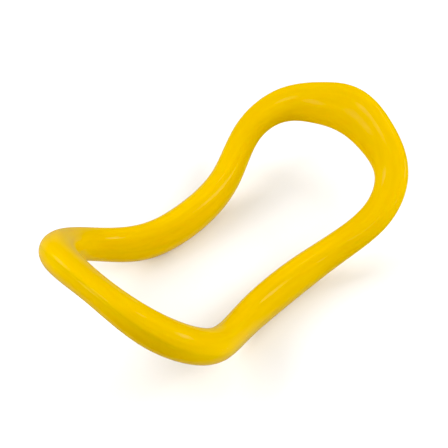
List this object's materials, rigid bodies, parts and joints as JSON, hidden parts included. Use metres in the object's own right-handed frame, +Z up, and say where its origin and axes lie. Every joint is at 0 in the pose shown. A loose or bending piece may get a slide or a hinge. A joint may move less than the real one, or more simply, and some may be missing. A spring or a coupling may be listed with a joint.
{
  "type": "yoga stretch ring",
  "caption": "Waved closed loop of hollow glossy plastic tube, a hand-held ring for stretching and massage, moulded as an upper and a lower half shell joined at a tongue-and-groove seam.",
  "frame": {"origin": "on the floor, under the middle of the ring's box", "axes": "+Z up, +X along the ring from the slim end to the broad end, XZ the mirror plane"},
  "size_m": [0.2322, 0.1286, 0.0765],
  "materials": {
    "yellow_plastic": "smooth moulded gloss"
  },
  "bodies": {
    "root": {"upper_shell": "yellow_plastic", "lower_shell": "yellow_plastic"}
  },
  "joints": []
}
